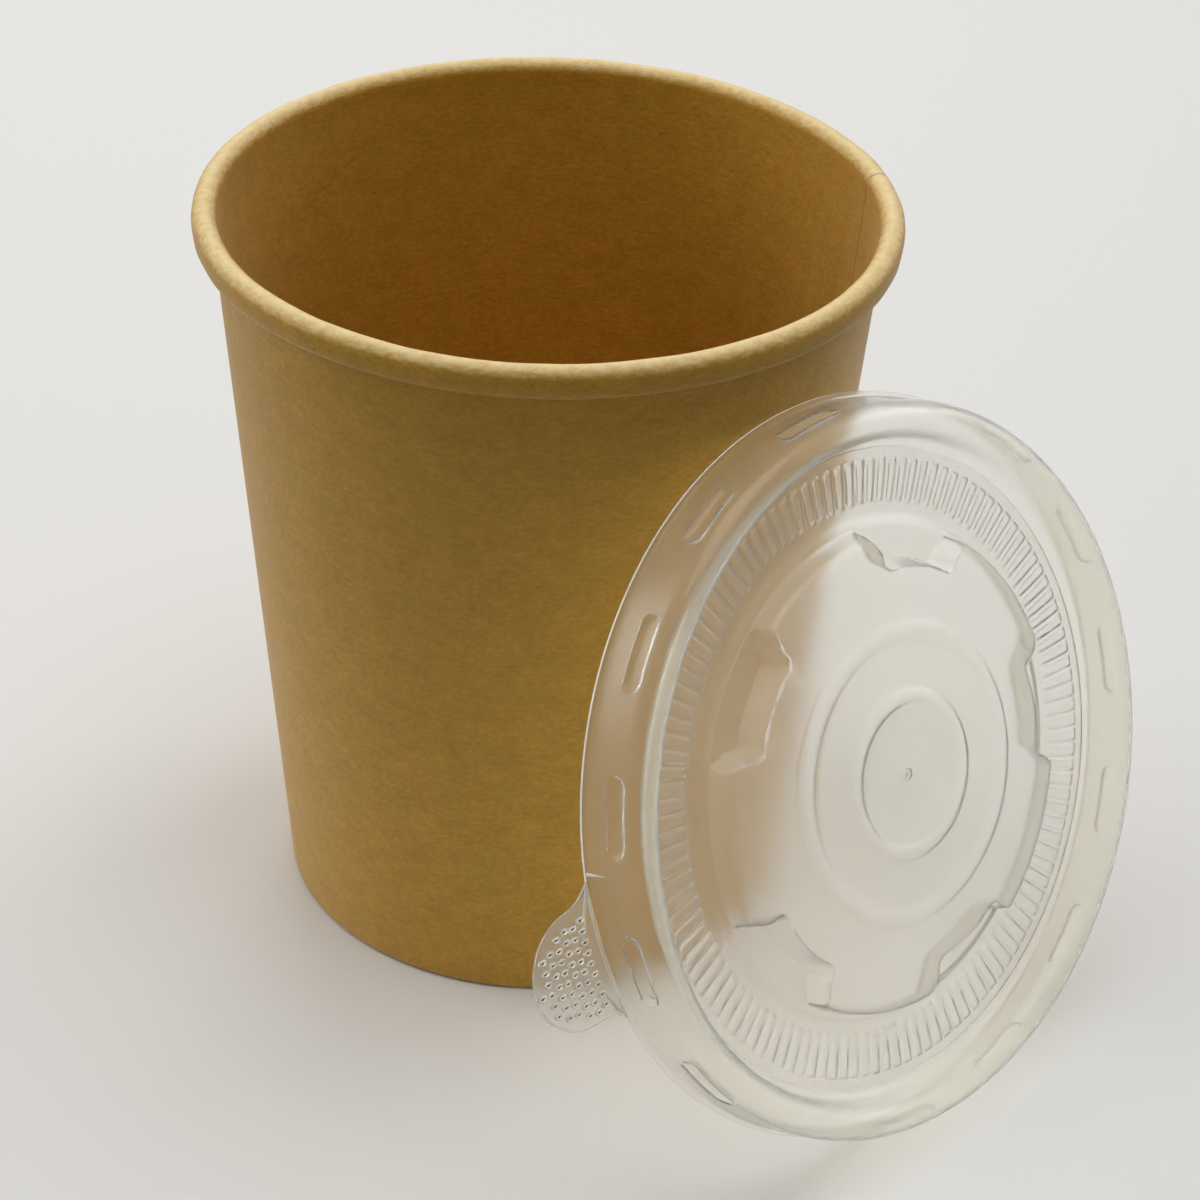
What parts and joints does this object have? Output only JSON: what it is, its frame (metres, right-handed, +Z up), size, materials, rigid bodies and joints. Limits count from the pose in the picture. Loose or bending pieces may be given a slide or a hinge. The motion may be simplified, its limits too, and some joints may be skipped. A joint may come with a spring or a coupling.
{
  "type": "takeaway soup cup",
  "caption": "Empty round kraft paper soup cup with a rolled rim, and its milky plastic snap lid leaning against it.",
  "frame": {"origin": "on the ground under the middle of the whole object's box, cup and lid together", "axes": "+Z up along the cup's axis; the cup stands to the left and back, the lid leans on it at the front right, seen along +Y"},
  "size_m": [0.1614, 0.1684, 0.1307],
  "materials": {
    "kraft_paper": "matt, with fine fibres",
    "coated_kraft_paper": "thinly coated, satin",
    "milky_plastic": "translucent, satin"
  },
  "bodies": {
    "root": {"cup_wall": "kraft_paper", "cup_base": "coated_kraft_paper", "lid": "milky_plastic"}
  },
  "joints": []
}
